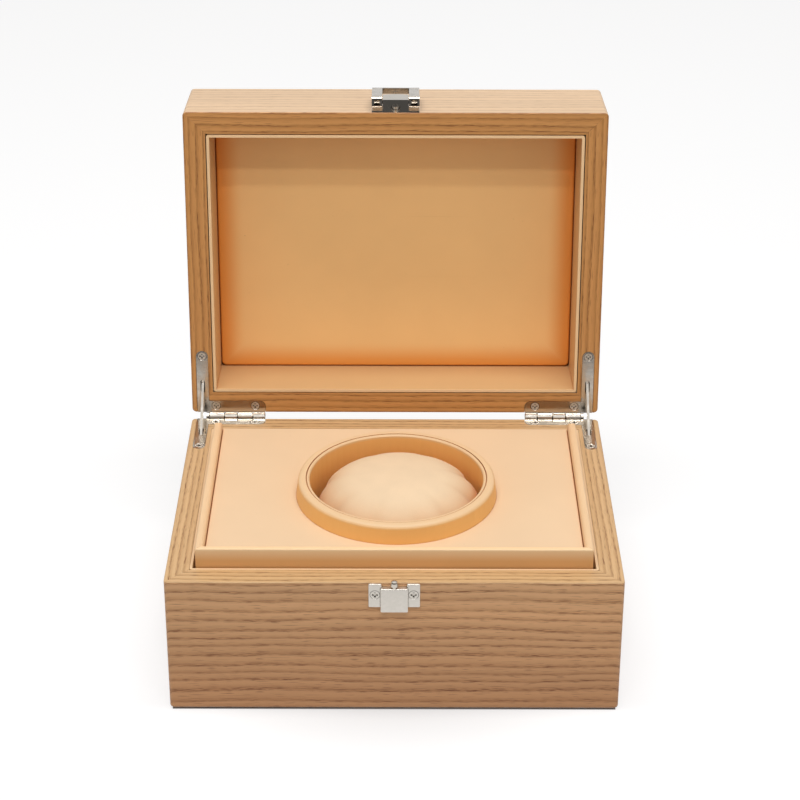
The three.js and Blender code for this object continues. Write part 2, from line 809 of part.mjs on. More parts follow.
// Base latch plate: two ears and a thicker strike between them, made as one plate.
function addBaseLatch() {
  const front = -halfDepth;
  const earTop = baseHeight - earDrop;
  const strikeTop = baseHeight - strikeDrop;
  // Drawn in the XZ plane and laid against the front face.
  const slab = (x0, x1, z0, z1, thickness) => {
    const outline = roundedRectangle(x0, x1, z0, z1, plateBevel * 2);
    return placed(softPrism(outline, -plateBevel, thickness, plateBevel), 0, front, 0, upright);
  };
  const half = latchWidth / 2;
  const strikeHalf = strikeWidth / 2;
  const overlap = glueLine * 3;
  const ears = sides.map(([, side]) => slab(
    Math.min(side * half, side * (half - earWidth - overlap)),
    Math.max(side * half, side * (half - earWidth - overlap)),
    earTop - earHeight, earTop, earThickness,
  ));
  const strike = slab(-strikeHalf, strikeHalf, strikeTop - strikeHeight, strikeTop, strikeThickness);
  const behind = block(-boxWidth, boxWidth, front, halfDepth, 0, trayTop);
  const seats = sides.map(([, side]) => placed(
    screwSeat(earScrew), side * earScrewSide, front - earThickness + headSink, baseHeight - earScrewDrop,
    pointingBack,
  ));
  const plate = without(union([...ears, strike]), [behind, ...seats]);
  box.add(piece("base_latch_plate", plate, satinNickel()));
  box.add(piece("base_latch_stub", stubShape(front - stubStandOff, strikeTop), satinNickel()));
  for (const [name, side] of sides) {
    const screw = placed(
      screwShape(earScrew), side * earScrewSide, front - earThickness + headSink, baseHeight - earScrewDrop,
      pointingBack,
    );
    box.add(piece(`base_latch_screw_${name}`, screw, nickel()));
  }
}

// The necked, domed stub pin that stands on the strike.
function stubShape(y, z) {
  const shoulder = stubHeight - stubDomeHeight;
  const pin = turned([
    [0, 0],
    [stubNeckRadius, 0],
    [stubNeckRadius, stubNeckHeight],
    [stubRadius, stubNeckHeight + stubCollarHeight],
    [stubRadius, shoulder],
    ...stubDomeShares.map(([r, h]) => [stubRadius * r, shoulder + stubDomeHeight * h]),
    [0, stubHeight],
  ], holeSegments);
  return placed(pin, 0, y, z);
}

// Fixed hinge parts on the base: leaf, barrel pin and screws, for each side.
function addBaseHinges() {
  for (const [name, side] of sides) {
    const leaf = placed(leafShape(side, -1, 0), 0, hingeY, hingeZ);
    box.add(piece(`base_hinge_leaf_${name}`, leaf, nickel()));
    const inner = side * (knuckleEdges[0] + knuckleGap);
    const outer = side * (knuckleEdges.at(-1) + knuckleGap / 2);
    const pin = crossRod(hingePinRadius, inner, outer + side * pinHeadLength, 0, 0);
    const head = crossRod(pinHeadRadius, outer, outer + side * pinHeadLength, 0, 0);
    box.add(piece(`hinge_pin_${name}`, placed(pin.add(head), 0, hingeY, hingeZ), nickel()));
    leafScrewPlaces(side, -1).forEach(([x, y], i) => {
      const screw = placed(screwShape(leafScrew), x, hingeY + y, baseHeight - headSink);
      box.add(piece(`base_hinge_screw_${name}_${i + 1}`, screw, nickel()));
    });
  }
}

// The lid is a group that turns about the hinge axis.
const lid = new THREE.Group();
lid.position.set(0, hingeY, hingeZ);
lid.rotation.x = -openAngle;
box.add(lid);

function addLidCarcass() {
  const form = outerForm(lidFront, lidRear, lidRim, lidTop, rimEdgeRadius, roofEdgeRadius);
  const cuts = sides.flatMap(([, side]) => hingeCuts(side, 1));
  const wall = (name, plan, extra) => {
    const raw = prism(plan, lidRim - cutMargin, lidTop + cutMargin).intersect(form);
    lid.add(piece(name, without(raw, extra), veneer()));
  };
  const pilots = sides.map(([, side]) => placed(
    pilotHole(plateScrew),
    side * lidPlateScrewSide, lidFront - lidPlateThickness + headSink, lidRim + lidPlateScrewHeight,
    pointingBack,
  ));
  wall("lid_front_wall", frontPlan(lidFront, 1), pilots);
  wall("lid_rear_wall", frontPlan(lidRear, -1), cuts);
  for (const [name, side] of sides) wall(`lid_${name}_wall`, sidePlan(side, lidFront, lidRear), cuts);
  const x = innerHalfWidth - glueLine;
  const inset = wallThickness + glueLine;
  const roof = block(-x, x, lidFront + inset, lidRear - inset, roofUnder, lidTop);
  lid.add(piece("lid_roof_panel", roof, veneer()));
}

function addLidLining() {
  const inset = wallThickness + lidLinerGap;
  const linerX = halfWidth - inset;
  const [y0, y1] = [lidFront + inset, lidRear - inset];
  const liner = linerShape(linerX, y0, y1, lidRim, roofUnder - glueLine, lidLinerThickness);
  lid.add(piece("lid_liner", liner, leatherette()));
  const edge = lidLinerThickness + padClearance;
  const x = linerX - edge;
  const outline = roundedRectangle(-x, x, y0 + edge, y1 - edge, padEdgeRadius + glueLine);
  const pad = softPrism(outline, padUnder, roofUnder - glueLine, padEdgeRadius);
  lid.add(piece("lid_pad", pad, leatherette()));
}

function addLidHinges() {
  for (const [name, side] of sides) {
    lid.add(piece(`lid_hinge_leaf_${name}`, leafShape(side, 1, 1), nickel()));
    leafScrewPlaces(side, 1).forEach(([x, y], i) => {
      const screw = placed(screwShape(leafScrew), x, y, lidRim + headSink, pointingUp);
      lid.add(piece(`lid_hinge_screw_${name}_${i + 1}`, screw, nickel()));
    });
    const x = side * armCentre;
    const pin = crossRod(
      stayPinRadius, x - stayPinHalfLength, x + stayPinHalfLength, -stayReach, stayDepth, fineSegments / 2,
    );
    lid.add(piece(`stay_pin_${name}`, pin, nickel()));
  }
}

// A stay hangs from its pin, runs through the base arm's slot and ends in a wide head.
// Its world angle is always half of the lid's, so it starts turned by half the open angle.
function addStays() {
  const radius = Math.hypot(stayReach, stayDepth);
  const lean = Math.atan2(stayDepth, stayReach);
  const span = 2 * radius * Math.sin(openAngle / 2 + lean);
  const headTop = -span - stayStopSlack;
  for (const [name, side] of sides) {
    const half = stayThickness / 2;
    const eye = crossRod(stayEyeRadius, -half, half, 0, 0, fineSegments);
    const bar = block(-half, half, -stayWidth / 2, stayWidth / 2, headTop - stayHeadHeight, 0);
    const head = block(
      -stayHeadWidth / 2, stayHeadWidth / 2, -stayWidth / 2, stayWidth / 2,
      headTop - stayHeadHeight, headTop,
    );
    const hole = crossRod(
      stayPinRadius + stayPinClearance, -cutMargin, cutMargin, 0, 0, fineSegments / 2,
    );
    const mesh = piece(`stay_${name}`, union([eye, bar, head]).subtract(hole), nickel());
    mesh.position.set(side * armCentre, -stayReach, stayDepth);
    mesh.rotation.x = openAngle / 2;
    lid.add(mesh);
  }
}

// Lid latch: a thin plate with a tongue that has a socket for the stub pin.
function addLidLatch() {
  const plateBottom = lidRim + lidPlateRimInset;
  const half = latchWidth / 2;
  const outline = roundedRectangle(-half, half, plateBottom, plateBottom + lidPlateHeight, plateBevel);
  const plate = placed(prism(outline, 0, lidPlateThickness), 0, lidFront, 0, upright);
  const tongue = placed(prism(tonguePlan(plateBottom), 0, tongueTop), 0, lidFront, 0, upright);
  const bore = rod(socketRadius, lidRim - cutMargin, plateBottom + socketDepth);
  const socket = placed(bore, 0, lidFront - socketStandOff, 0);
  const pinHoles = sides.map(([, side]) => crossRod(
    leverPinRadius + leverPinClearance / 2,
    side * leverPinInner, side * (tongueWidth / 2 + cutMargin),
    lidFront - leverPivotStandOff, lidRim + leverPivotRise,
  ));
  const seats = sides.map(([, side]) => placed(
    screwSeat(plateScrew),
    side * lidPlateScrewSide, lidFront - lidPlateThickness + headSink, lidRim + lidPlateScrewHeight,
    pointingBack,
  ));
  const made = without(plate.add(tongue), [socket, ...pinHoles, ...seats]);
  lid.add(piece("lid_latch_block", made, nickel()));
  for (const [name, side] of sides) {
    const pin = crossRod(
      leverPinRadius, side * (leverPinInner + glueLine), side * leverPinOuter,
      lidFront - leverPivotStandOff, lidRim + leverPivotRise,
    );
    lid.add(piece(`lid_latch_pin_${name}`, pin, nickel()));
    const screw = placed(
      screwShape(plateScrew),
      side * lidPlateScrewSide, lidFront - lidPlateThickness + headSink, lidRim + lidPlateScrewHeight,
      pointingBack,
    );
    lid.add(piece(`lid_latch_screw_${name}`, screw, nickel()));
  }
}

// Plan of the tongue in the XZ plane: straight sides and a gently bulged far edge.
function tonguePlan(bottom) {
  const half = tongueWidth / 2;
  const shape = new THREE.Shape();
  shape.moveTo(-half, bottom);
  shape.lineTo(half, bottom);
  shape.lineTo(half, bottom + tongueLength);
  shape.quadraticCurveTo(0, bottom + tongueLength + 2 * tongueBulge, -half, bottom + tongueLength);
  return shape;
}

// The swinging frame, drawn with its pivot at the origin: Z runs along its arms, -Y is its outside.
function addLever() {
  const half = latchWidth / 2;
  const arms = sides.map(([, side]) => leverArm(side, half));
  const end = leverBarInner + leverBarWidth;
  const bar = block(-half, half, -leverTop, -leverBarBottom, leverBarInner, end);
  const nub = placed(
    prism(circle(0, 0, nubRadius), 0, nubTop, fineSegments / 4), 0, 0, leverBarInner, upright,
  );
  const mesh = piece("latch_frame", union([...arms, bar, nub]), nickel());
  mesh.position.set(0, lidFront - leverPivotStandOff, lidRim + leverPivotRise);
  mesh.rotation.x = -leverRestTilt;
  lid.add(mesh);
}

// One arm of the frame: a deeper hub at the pivot, hollowed from its near end, and a slimmer bar.
function leverArm(side, half) {
  const end = leverBarInner + leverBarWidth;
  const outline = new THREE.Shape();
  const round = leverHubRadius;
  outline.moveTo(-leverTop, end);
  outline.lineTo(-leverTop, -leverHubEnd + round);
  outline.absarc(-leverTop + round, -leverHubEnd + round, round, Math.PI, Math.PI * 1.5);
  outline.lineTo(leverHubDrop - round, -leverHubEnd);
  outline.absarc(leverHubDrop - round, -leverHubEnd + round, round, -Math.PI / 2, 0);
  outline.lineTo(leverHubDrop, leverSlopeStart);
  outline.lineTo(0, leverSlopeEnd);
  outline.lineTo(0, end);
  const arm = sidePrism(outline, side * leverInner, side * half);
  const middle = (side * (leverInner + half)) / 2;
  const hollow = block(
    middle - leverPocketHalf, middle + leverPocketHalf,
    -leverPocketTop, leverPocketDrop, -leverHubEnd - cutMargin, -leverHubEnd + leverPocketDepth,
  );
  const hole = crossRod(
    leverPinRadius + leverPinClearance, side * (leverInner - cutMargin),
    side * (leverPinOuter + glueLine), 0, 0,
  );
  return without(arm, [hollow, hole]);
}

addBaseCarcass();
addBaseLiner();
addTrayBoards();
addPlatform();
addWell();
addCushion();
addBaseLatch();
addBaseHinges();
addLidCarcass();
addLidLining();
addLidHinges();
addStays();
addLidLatch();
addLever();

export default box;
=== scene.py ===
import json
import math

import bmesh
import bpy
from mathutils import Matrix, Vector, noise


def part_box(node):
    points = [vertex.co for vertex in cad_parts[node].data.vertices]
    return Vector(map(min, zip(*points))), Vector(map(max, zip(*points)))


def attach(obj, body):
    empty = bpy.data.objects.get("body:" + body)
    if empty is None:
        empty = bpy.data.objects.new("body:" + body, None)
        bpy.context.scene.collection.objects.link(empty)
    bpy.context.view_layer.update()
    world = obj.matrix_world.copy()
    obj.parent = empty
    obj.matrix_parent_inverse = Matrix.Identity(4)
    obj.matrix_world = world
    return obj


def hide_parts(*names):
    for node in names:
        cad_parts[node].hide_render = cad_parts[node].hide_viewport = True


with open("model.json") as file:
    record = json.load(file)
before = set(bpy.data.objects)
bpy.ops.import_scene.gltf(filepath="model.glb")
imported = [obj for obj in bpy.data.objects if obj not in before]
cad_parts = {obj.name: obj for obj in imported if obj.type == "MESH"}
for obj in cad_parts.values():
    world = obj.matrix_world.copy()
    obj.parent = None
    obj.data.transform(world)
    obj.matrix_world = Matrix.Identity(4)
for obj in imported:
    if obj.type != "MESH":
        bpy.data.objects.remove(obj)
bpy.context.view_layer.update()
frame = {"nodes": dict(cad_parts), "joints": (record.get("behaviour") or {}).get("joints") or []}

# A veneered watch box with its lid open. Metres, +Z up, -Y is the front of the box.

MM = 0.001
PER_METRE = 1000.0

# Camera, fitted to the photograph's edges.
CAMERA_PLACE = Vector((0.0014, -0.8892, 0.5775))
CAMERA_YAW = math.radians(0.06)
CAMERA_PITCH = math.radians(27.41)
CAMERA_ROLL = math.radians(0.16)
LENS_MM = 99.6
SENSOR_MM = 36.0
CLIP_START = 0.05

# The lid stands open by this angle, and turns on the hinge axis.
LID_JOINT = next(j for j in frame["joints"] if j["name"] == "lid_hinge")
LID_OPEN = math.radians(LID_JOINT["range_deg"][1])
HINGE = Vector(LID_JOINT["pos_m"])
OPENING = Matrix.Translation(HINGE) @ Matrix.Rotation(-LID_OPEN, 4, "X")

# In millimetres: the walls' outer faces from the middle, the base's height, and the line that
# the shut lid's frame starts from.
HALF_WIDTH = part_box("base_right_wall")[1].x * PER_METRE
HALF_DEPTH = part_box("base_rear_wall")[1].y * PER_METRE
BASE_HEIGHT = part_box("base_front_wall")[1].z * PER_METRE
HINGE_LINE = HINGE.y * PER_METRE

# Lamps: a broad one overhead, aimed at the box, and two strips in front, aimed at the inner
# edge of the lid's front wall. The strips' elevations put that wall's two shadows on the pad
# where the photograph shows them.
LAMPS = {
    "overhead_strip": {"aim": (0.0, 0.03, 0.12), "elevation": 85.0, "width": 1.1, "height": 0.3,
                       "watts": 9.2},
    "high_front_strip": {"aim": (0.0, 0.06, 0.2), "elevation": 53.1, "width": 0.9,
                         "height": 0.05, "watts": 2.3},
    "low_front_strip": {"aim": (0.0, 0.06, 0.2), "elevation": 44.4, "width": 0.9,
                        "height": 0.05, "watts": 2.3},
}
LAMP_REACH = 1.3

# The room's colour, and its strength for diffuse light and in polished metal.
ROOM_LIGHT = "#FFFDFA"
SURROUNDINGS = 0.48
MIRRORED_ROOM = 1.15

# How bright the room is in polished metal, from level in front, 0, over the top to level
# behind, 1: its dark end, a wide lamp and the grey backdrop.
ROOM_OVERHEAD = ((0.0, 0.12), (0.06, 0.12), (0.13, 1.0), (0.31, 1.0), (0.4, 0.68), (1.0, 0.68))

TABLE_SIZE = 4.0

# Colours. The ash has one set, and tints over it paint light and shade low and high on a wall
# and on its rim: darker and deeper low on the base's walls, where the floor shades them, cooler
# and greyer on the lid, whose front wall is strongly lit, deeper on the lid's rim, which is in
# shade, and greyer on the base's lit rim.
ASH_PALE = "#EABF8D"
ASH_RING = "#D3A472"
ASH_PORE = "#8A5C36"
# The colour of the painted sheen that strong light gives the lid's lacquer.
ASH_PAINTED_SHEEN = "#F0CBA4"
BASE_PAINTED_SHADING = {"low": "#DFC8BB", "high": "#FFF4F0", "rim": "#E9EBE8"}
LID_PAINTED_SHADING = {"low": "#EFF4FA", "high": "#EFF4FA", "rim": "#E2C8A1"}
BEECH = ("#C79B70", "#B98A60")
FELT = ("#3A2A20", "#5A4636")
# The leatherette below is one peach leatherette in lit and shaded copies. This is painted light
# and shade: paler on the platform and on the tops that light falls on, and deeper on the front
# board's face, the collar's side, the pad and the lid's lining, which are in shade.
PLATFORM_TONE = "#EBCCA7"
FRONT_BOARD_SHADED = "#E1AA6E"
FRONT_BOARD_LIT_TOP = "#F6D2A4"
BOARD_TONE = "#EDC99E"
COLLAR_SHADED_SIDE = "#F3B96C"
COLLAR_LIT_TOP = "#E8C59A"
PAD_SHADED_TONE = "#FFCD8A"
# The colour of painted shade near the pad's sides and rear edge.
PAD_PAINTED_SHADE = "#F29C44"
LINER_SHADED = "#D6AE7C"
# A painted highlight along the lid lining's front edge.
LINER_HIGHLIGHT = "#F3CC9C"
# The colour of painted shade in the leatherette's creases.
CREASE_SHADE = "#BC743C"
SUEDE_CROWN = "#ECD0AC"
# The suede's next two colours are painted shade: below the crown, and by the well's wall.
SUEDE_SHADED_LOW = "#DDB488"
SUEDE_WALL_SHADE = "#D2935A"
BRIGHT_NICKEL = "#CFC7BC"
SATIN_NICKEL = ("#D7D1C7", "#E7E0D7")
# The colour of painted shade in the metal's seams, slots and screw recesses.
METAL_RECESS_SHADE = "#1E1A17"
TABLE_LACQUER = "#A6A6A7"
WHITE = "#FFFFFF"

# The ash veneer: the width of a year's ring in millimetres, how many times closer the lines
# lie on a rim than on a wall, how far the roof's lines slope on its edges, and how much painted
# sheen pales and thins the lines of the lid's front wall, from 0 to 1.
RING_WIDTH = 4.7
RIM_CLOSENESS = 1.7
ROOF_SLOPE = 0.3
LID_FRONT_PAINTED_SHEEN = 0.5

# The lid rim's height in the shut lid's frame, in millimetres.
LID_RIM = 0.2

# Over a ring's width, from 0 to 1: how open its pores are, and how dark its haze is.
PORE_ROW = ((0.0, 0.25), (0.05, 0.9), (0.17, 1.0), (0.3, 0.35), (0.42, 0.0), (0.93, 0.0),
            (1.0, 0.25))
RING_HAZE = ((0.0, 0.35), (0.1, 0.9), (0.3, 0.6), (0.6, 0.2), (0.86, 0.0), (1.0, 0.35))

# The ash's stretched patterns: length and width in millimetres, detail and seed. Those of the
# pores also have the ramp from the noise to how dark the marks are.
PORE_DASHES = ((5.5, 0.42, 1.0, 29.0), ((0.42, 0.0), (0.6, 1.0)))
PORE_STRETCHES = ((13.0, 4.0, 2.0, 23.0), ((0.34, 0.3), (0.6, 1.0)))
STRAY_PORES = ((7.0, 0.4, 0.0, 41.0), ((0.66, 0.0), (0.76, 0.5)))
FIBRES = (30.0, 0.6, 3.0, 31.0)
TONE_BANDS = (260.0, 14.0, 1.0, 37.0)

# How a leaf's lines wander, from the whole leaf's slow drift to the ragged rows of pores: a
# stretched pattern each, and how far it moves the lines in millimetres.
LINE_WANDER = (
    ((120.0, 60.0, 1.0, 3.0), 7.0),
    ((500.0, 9.0, 0.0, 17.0), 3.3),
    ((38.0, 12.0, 1.0, 7.0), 1.9),
    ((3.2, 1.4, 2.0, 11.0), 0.95),
)

# In millimetres: how far painted light pales the wrap from the top edge of the front board and
# the collar, how far the painted highlight reaches from the front edge of the lid's lining, and
# how far painted shade reaches from a metal seam.
BOARD_LIT_EDGE = 6.0
COLLAR_LIT_EDGE = 2.0
LINER_HIGHLIGHT_EDGE = 0.7
METAL_SHADE_REACH = 0.8


# Scene: camera, lamps, table.

def make_camera():
    """The camera looks along its yaw and pitch and is rolled about that way."""
    data = bpy.data.cameras.new("camera")
    data.lens = LENS_MM
    data.sensor_width = SENSOR_MM
    data.clip_start = CLIP_START
    camera = bpy.data.objects.new("camera", data)
    bpy.context.scene.collection.objects.link(camera)
    ahead = Vector((
        math.sin(CAMERA_YAW) * math.cos(CAMERA_PITCH),
        math.cos(CAMERA_YAW) * math.cos(CAMERA_PITCH),
        -math.sin(CAMERA_PITCH),
    ))
    level = Vector((math.cos(CAMERA_YAW), -math.sin(CAMERA_YAW), 0.0))
    up = level.cross(ahead)
    right = math.cos(CAMERA_ROLL) * level + math.sin(CAMERA_ROLL) * up
    top = math.cos(CAMERA_ROLL) * up - math.sin(CAMERA_ROLL) * level
    turn = Matrix((right, top, -ahead)).transposed().to_4x4()
    camera.matrix_world = Matrix.Translation(CAMERA_PLACE) @ turn
    bpy.context.scene.camera = camera


def make_lamps():
    """The lamps, each at one reach from what it is aimed at."""
    for name, lamp in LAMPS.items():
        data = bpy.data.lights.new(name, "AREA")
        data.shape = "RECTANGLE"
        data.size = lamp["width"]
        data.size_y = lamp["height"]
        data.energy = lamp["watts"]
        light = bpy.data.objects.new(name, data)
        bpy.context.scene.collection.objects.link(light)
        rise = math.radians(lamp["elevation"])
        towards = Vector((0.0, -math.cos(rise), math.sin(rise)))
        light.location = Vector(lamp["aim"]) + LAMP_REACH * towards
        light.rotation_euler = (-towards).to_track_quat("-Z", "Y").to_euler()


def make_world():
    """The room: dim for diffuse light, and white for the camera. Polished metal sees it dark
    low in front of the box, white where a wide lamp is higher up, and grey behind the box."""
    world = bpy.data.worlds.new("studio")
    bpy.context.scene.world = world
    world.use_nodes = True
    tree = world.node_tree
    tree.nodes.clear()
    path = add(tree, "ShaderNodeLightPath")
    direction = add(tree, "ShaderNodeTexCoord").outputs["Generated"]
    way = add(tree, "ShaderNodeSeparateXYZ", {0: direction})
    ahead = add(tree, "ShaderNodeMath", {0: way.outputs["Y"], 1: -1.0}, operation="MULTIPLY")
    rise = add(tree, "ShaderNodeMath", {0: way.outputs["Z"], 1: ahead}, operation="ARCTAN2")
    turned = add(tree, "ShaderNodeMath", {0: rise, 1: 1 / math.pi}, operation="MULTIPLY")
    bright = add(tree, "ShaderNodeValToRGB", {0: turned}, stops=ROOM_OVERHEAD)
    room = add(tree, "ShaderNodeBackground", {"Color": bright, "Strength": MIRRORED_ROOM})
    dim = add(tree, "ShaderNodeBackground", {"Color": linear(ROOM_LIGHT),
              "Strength": SURROUNDINGS})
    white = add(tree, "ShaderNodeBackground", {"Color": linear(WHITE), "Strength": 1.0})
    mirrored = add(tree, "ShaderNodeMath", {0: path.outputs["Is Glossy Ray"],
                   1: path.outputs["Is Transmission Ray"]}, operation="MAXIMUM")
    reflected = add(tree, "ShaderNodeMixShader", {0: mirrored, 1: dim, 2: room})
    seen = add(tree, "ShaderNodeMixShader", {0: path.outputs["Is Camera Ray"], 1: reflected,
               2: white})
    add(tree, "ShaderNodeOutputWorld", {"Surface": seen})


def make_table():
    """The table the box stands on."""
    bm = bmesh.new()
    bmesh.ops.create_grid(bm, x_segments=2, y_segments=2, size=TABLE_SIZE)
    table = object_from(bm, "table")
    table.data.materials.append(table_paint())


# Colours and nodes.

def linear(text):
    """An sRGB hex colour as linear RGBA."""
    channels = [int(text[i:i + 2], 16) / 255 for i in (1, 3, 5)]
    return tuple(c / 12.92 if c <= 0.04045 else ((c + 0.055) / 1.055) ** 2.4
                 for c in channels) + (1.0,)


def add(tree, kind, inputs=None, stops=(), **settings):
    """Adds a node with its settings. Each input takes a value, a socket, or a node, whose first
    live output is linked. The stops are those of a colour ramp, which starts with two: places
    with a grey or a colour."""
    node = tree.nodes.new(kind)
    for name, value in settings.items():
        setattr(node, name, value)
    for key, value in (inputs or {}).items():
        if isinstance(value, bpy.types.Node):
            value = next(socket for socket in value.outputs if socket.enabled)
        if isinstance(value, bpy.types.NodeSocket):
            tree.links.new(value, node.inputs[key])
        else:
            node.inputs[key].default_value = value
    for i, (place, value) in enumerate(stops):
        elements = node.color_ramp.elements
        element = elements[i] if i < 2 else elements.new(place)
        element.position = place
        element.color = value if isinstance(value, tuple) else (value, value, value, 1.0)
    return node


SOCKET_NAMES = {"sheen_weight": "Sheen Weight", "sheen_roughness": "Sheen Roughness",
                "specular_ior_level": "Specular IOR Level"}


def new_material(name, roughness, metallic=0.0, **sockets):
    """A material with one shader, whose constant numbers are set on its own sockets."""
    material = bpy.data.materials.new(name)
    material.use_nodes = True
    tree = material.node_tree
    tree.nodes.clear()
    shader = add(tree, "ShaderNodeBsdfPrincipled", {"Roughness": roughness, "Metallic": metallic})
    for socket, value in sockets.items():
        shader.inputs[SOCKET_NAMES[socket]].default_value = value
    add(tree, "ShaderNodeOutputMaterial", {"Surface": shader})
    return material, tree, shader


def millimetres(tree, in_lid=False):
    """The piece's own place in millimetres; for the lid, in the shut lid's frame."""
    place = add(tree, "ShaderNodeTexCoord").outputs["Object"]
    mapping = add(tree, "ShaderNodeMapping", {"Vector": place, "Scale": (PER_METRE,) * 3},
                  vector_type="POINT")
    if in_lid:
        turn = Matrix.Rotation(LID_OPEN, 3, "X")
        mapping.inputs["Rotation"].default_value = (LID_OPEN, 0.0, 0.0)
        mapping.inputs["Location"].default_value = -(turn @ (HINGE * PER_METRE))
    return mapping.outputs["Vector"]


def table_paint():
    """Matt white lacquered board, which scatters light evenly and mirrors nothing. It is
    brightened for the camera, a little less close to the box, which paints a soft shadow
    round it, and not at all under it, and keeps the box's own shadow. In metal it is white,
    and dim in front of the box."""
    near, far, shadowed_glow, far_glow = 0.075, 0.115, 0.48, 0.66
    dim_until, white_from, dimmed = -0.3, -0.2, 0.1
    under = 0.995
    material, tree, shader = new_material("matt_white_lacquer", roughness=0.9,
                                          specular_ior_level=0.0)
    shader.inputs["Base Color"].default_value = linear(TABLE_LACQUER)
    place = add(tree, "ShaderNodeTexCoord").outputs["Object"]
    away = add(tree, "ShaderNodeVectorMath", {0: place}, operation="LENGTH").outputs["Value"]
    ahead = add(tree, "ShaderNodeSeparateXYZ", {0: place}).outputs["Y"]
    # Painted shadow: the floor is brightened less close to the box.
    seen = add(tree, "ShaderNodeMapRange", {0: away, 1: near, 2: far, 3: shadowed_glow, 4: far_glow})
    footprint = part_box("base_front_wall")[0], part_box("base_rear_wall")[1]
    middle, half = (footprint[0] + footprint[1]) / 2, (footprint[1] - footprint[0]) / 2
    from_middle = add(tree, "ShaderNodeVectorMath", {0: place, 1: middle}, operation="SUBTRACT")
    share = add(tree, "ShaderNodeVectorMath", {0: from_middle, 1: (half.x, half.y, 1.0)},
                operation="DIVIDE")
    sides = add(tree, "ShaderNodeSeparateXYZ", {0: add(tree, "ShaderNodeVectorMath", {0: share},
                operation="ABSOLUTE")})
    outermost = add(tree, "ShaderNodeMath", {0: sides.outputs["X"], 1: sides.outputs["Y"]},
                    operation="MAXIMUM")
    outside = add(tree, "ShaderNodeMath", {0: outermost, 1: under}, operation="GREATER_THAN")
    open_glow = add(tree, "ShaderNodeMath", {0: seen, 1: outside}, operation="MULTIPLY")
    mirrored = add(tree, "ShaderNodeMapRange", {0: ahead, 1: dim_until, 2: white_from,
                   3: dimmed, 4: 1.0})
    path = add(tree, "ShaderNodeLightPath")
    glow = add(tree, "ShaderNodeMath", {0: path.outputs["Is Camera Ray"], 1: open_glow},
               operation="MULTIPLY")
    tree.links.new(glow.outputs[0], shader.inputs["Emission Strength"])
    shader.inputs["Emission Color"].default_value = linear(WHITE)
    backdrop = add(tree, "ShaderNodeEmission", {"Color": linear(WHITE), "Strength": mirrored})
    in_metal = add(tree, "ShaderNodeMath", {0: path.outputs["Is Glossy Ray"],
                   1: path.outputs["Is Transmission Ray"]}, operation="MAXIMUM")
    both = add(tree, "ShaderNodeMixShader", {0: in_metal, 1: shader.outputs[0], 2: backdrop})
    output = next(node for node in tree.nodes if node.bl_idname == "ShaderNodeOutputMaterial")
    tree.links.new(both.outputs[0], output.inputs["Surface"])
    return material


def crevices(tree, colour, dark, reach):
    """A colour that goes dark where another surface is within the reach, in millimetres: painted
    shade.
    """
    shut, clear = 0.3, 0.85
    open_share = add(tree, "ShaderNodeAmbientOcclusion", {"Distance": reach * MM}, samples=8)
    unshaded = add(tree, "ShaderNodeMapRange", {0: open_share.outputs["AO"], 1: shut, 2: clear})
    return add(tree, "ShaderNodeMix", {0: unshaded, 6: linear(dark), 7: colour},
               data_type="RGBA").outputs[2]


# Wood.

